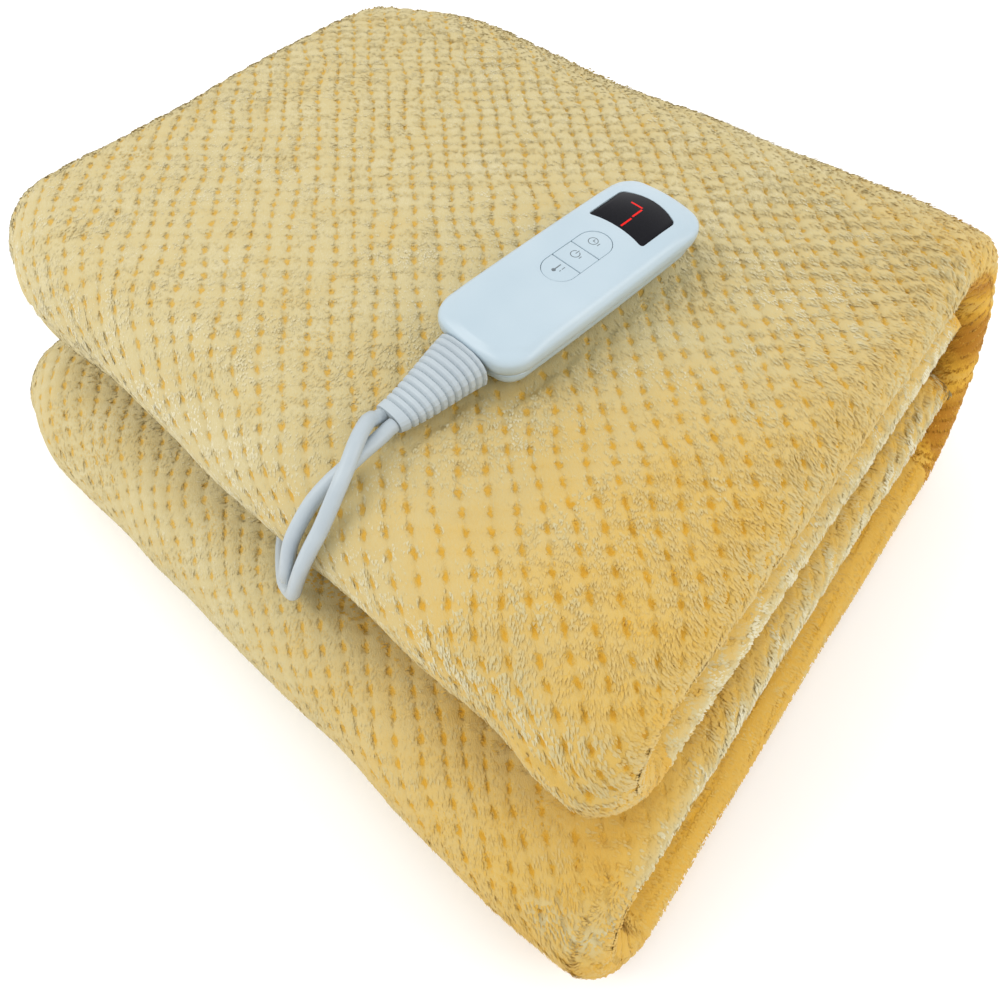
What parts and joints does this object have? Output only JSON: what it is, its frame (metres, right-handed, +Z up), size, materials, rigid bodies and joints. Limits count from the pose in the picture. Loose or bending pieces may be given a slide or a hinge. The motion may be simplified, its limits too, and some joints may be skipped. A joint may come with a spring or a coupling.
{
  "type": "electric heated blanket",
  "caption": "Folded plush electric blanket with its handset lying on top, display and keys, ribbed strain relief, and two thin leads that run into the crease between the folds.",
  "frame": {"origin": "middle of the folded blanket's footprint, on the surface it rests on", "axes": "+Y along the folds, its round layer ends at -Y; +X from the two round folds towards the wide outer wrap; +Z up"},
  "size_m": [0.4174, 0.5482, 0.1835],
  "materials": {
    "plush": "deep plush pile with a lattice of small pits",
    "pale_plastic": "smooth, softly glossy",
    "black_gloss": "black gloss window",
    "cord_rubber": "satin pale grey cord sheath",
    "pin_metal": "bright nickel plate"
  },
  "bodies": {
    "body": {"blanket": "plush", "handset_lower": "pale_plastic", "handset_upper": "pale_plastic", "display_window": "black_gloss", "strain_relief": "cord_rubber", "mains_lead": "cord_rubber", "blanket_lead": "cord_rubber", "mains_coil": "cord_rubber", "mains_tail": "cord_rubber", "plug_body": "cord_rubber", "plug_pin_left": "pin_metal", "plug_pin_right": "pin_metal"},
    "warmth_key": {"key_warmth": "pale_plastic"},
    "power_key": {"key_power": "pale_plastic"},
    "timer_key": {"key_timer": "pale_plastic"}
  },
  "joints": [
    {"name": "warmth_press", "type": "slide", "parent": "body", "child": "warmth_key", "axis": [0.0416, 0.066, -0.997], "range_m": [0, 0.0006], "stiffness_N_per_m": 400},
    {"name": "power_press", "type": "slide", "parent": "body", "child": "power_key", "axis": [0.0416, 0.066, -0.997], "range_m": [0, 0.0006], "stiffness_N_per_m": 400},
    {"name": "timer_press", "type": "slide", "parent": "body", "child": "timer_key", "axis": [0.0416, 0.066, -0.997], "range_m": [0, 0.0006], "stiffness_N_per_m": 400}
  ]
}
